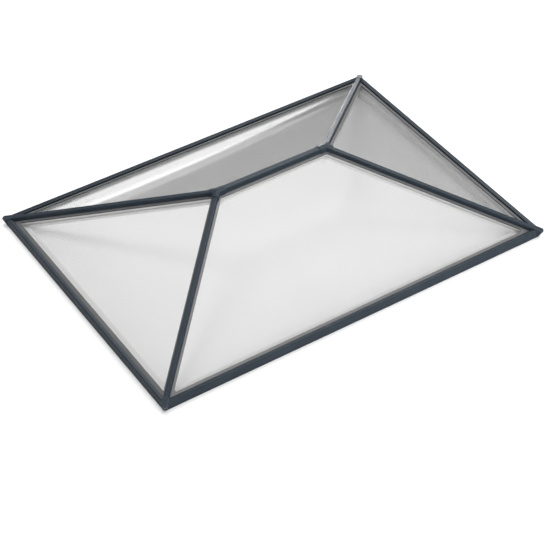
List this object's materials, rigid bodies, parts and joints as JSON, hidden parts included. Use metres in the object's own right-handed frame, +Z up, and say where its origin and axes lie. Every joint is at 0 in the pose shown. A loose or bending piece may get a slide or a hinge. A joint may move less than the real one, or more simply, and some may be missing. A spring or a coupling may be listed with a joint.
{
  "type": "roof lantern skylight",
  "caption": "Fixed hipped roof lantern with sloping sealed glass units, slim grey caps on the hips, ridge and eaves, and a flat ring of beams for a roof kerb.",
  "frame": {"origin": "centre of the base, at the underside of the eaves beams", "axes": "+X along the ridge to the right, +Y to the back, +Z up"},
  "size_m": [2.2878, 1.6378, 0.4261],
  "materials": {
    "frame_paint": "satin powder coat, blue grey",
    "bead_paint": "satin powder coat, mid grey",
    "inside_paint": "satin powder coat, white",
    "mill_aluminium": "mill finish",
    "rubber": "matt",
    "screw_steel": "plain",
    "glass": "clear float glass"
  },
  "bodies": {
    "root": {"eaves_beam_front": "inside_paint", "eaves_beam_right": "inside_paint", "eaves_beam_back": "inside_paint", "eaves_beam_left": "inside_paint", "eaves_cap_front": "frame_paint", "eaves_cap_right": "frame_paint", "eaves_cap_back": "frame_paint", "eaves_cap_left": "frame_paint", "outer_pane_front": "glass", "outer_pane_right": "glass", "outer_pane_back": "glass", "outer_pane_left": "glass", "inner_pane_front": "glass", "inner_pane_right": "glass", "inner_pane_back": "glass", "inner_pane_left": "glass", "spacer_front": "mill_aluminium", "spacer_right": "mill_aluminium", "spacer_back": "mill_aluminium", "spacer_left": "mill_aluminium", "glazing_gasket_front": "rubber", "glazing_gasket_right": "rubber", "glazing_gasket_back": "rubber", "glazing_gasket_left": "rubber", "glazing_bead_front": "bead_paint", "glazing_bead_right": "bead_paint", "glazing_bead_back": "bead_paint", "glazing_bead_left": "bead_paint", "glazing_tape_front": "rubber", "glazing_tape_right": "rubber", "glazing_tape_back": "rubber", "glazing_tape_left": "rubber", "hip_cap_front_left": "frame_paint", "hip_cap_front_right": "frame_paint", "hip_cap_back_right": "frame_paint", "hip_cap_back_left": "frame_paint", "hip_plate_front_left": "mill_aluminium", "hip_plate_front_right": "mill_aluminium", "hip_plate_back_right": "mill_aluminium", "hip_plate_back_left": "mill_aluminium", "hip_rafter_front_left": "inside_paint", "hip_rafter_front_right": "inside_paint", "hip_rafter_back_right": "inside_paint", "hip_rafter_back_left": "inside_paint", "corner_cover_front_left": "frame_paint", "corner_cover_front_right": "frame_paint", "corner_cover_back_right": "frame_paint", "corner_cover_back_left": "frame_paint", "corner_bracket_front_left": "inside_paint", "corner_bracket_front_right": "inside_paint", "corner_bracket_back_right": "inside_paint", "corner_bracket_back_left": "inside_paint", "boss_cover_left": "frame_paint", "boss_cover_right": "frame_paint", "ridge_hub_left": "inside_paint", "ridge_hub_right": "inside_paint", "ridge_cap": "frame_paint", "ridge_plate": "mill_aluminium", "ridge_beam": "inside_paint", "plate_screws": "screw_steel"}
  },
  "joints": []
}
